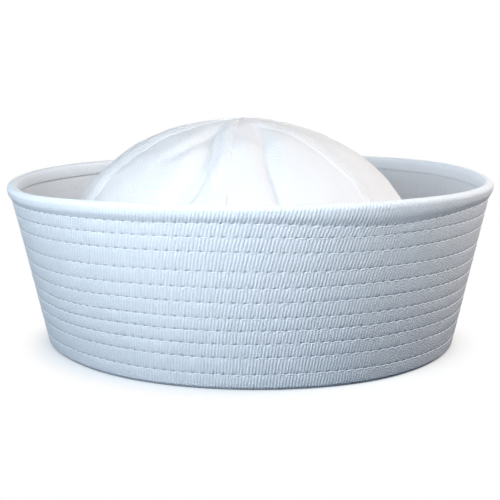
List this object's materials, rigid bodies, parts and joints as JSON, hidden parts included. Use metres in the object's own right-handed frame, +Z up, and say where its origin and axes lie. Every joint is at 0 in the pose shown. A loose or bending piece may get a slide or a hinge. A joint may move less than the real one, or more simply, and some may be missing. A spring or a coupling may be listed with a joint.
{
  "type": "sailor cap",
  "caption": "Soft white cotton sailor cap: a round crown of sewn gores inside a tall upturned brim quilted with rows of stitching, with a rolled welt along its rim.",
  "frame": {"origin": "centre of the brim's folded bottom edge, at the height of the surface the cap stands on", "axes": "+Z up, front towards -Y, +X to the right as seen from the front"},
  "size_m": [0.232, 0.2328, 0.1089],
  "materials": {
    "white_drill": "matt, coarse slanting drill weave",
    "white_lining_cloth": "matt, plain close weave",
    "white_twill": "matt, fine twill weave"
  },
  "bodies": {
    "root": {"brim_outer_ply": "white_drill", "brim_inner_ply": "white_lining_cloth", "crown_gore_front_right": "white_twill", "crown_gore_right": "white_twill", "crown_gore_back_right": "white_twill", "crown_gore_back_left": "white_twill", "crown_gore_left": "white_twill", "crown_gore_front_left": "white_twill"}
  },
  "joints": []
}
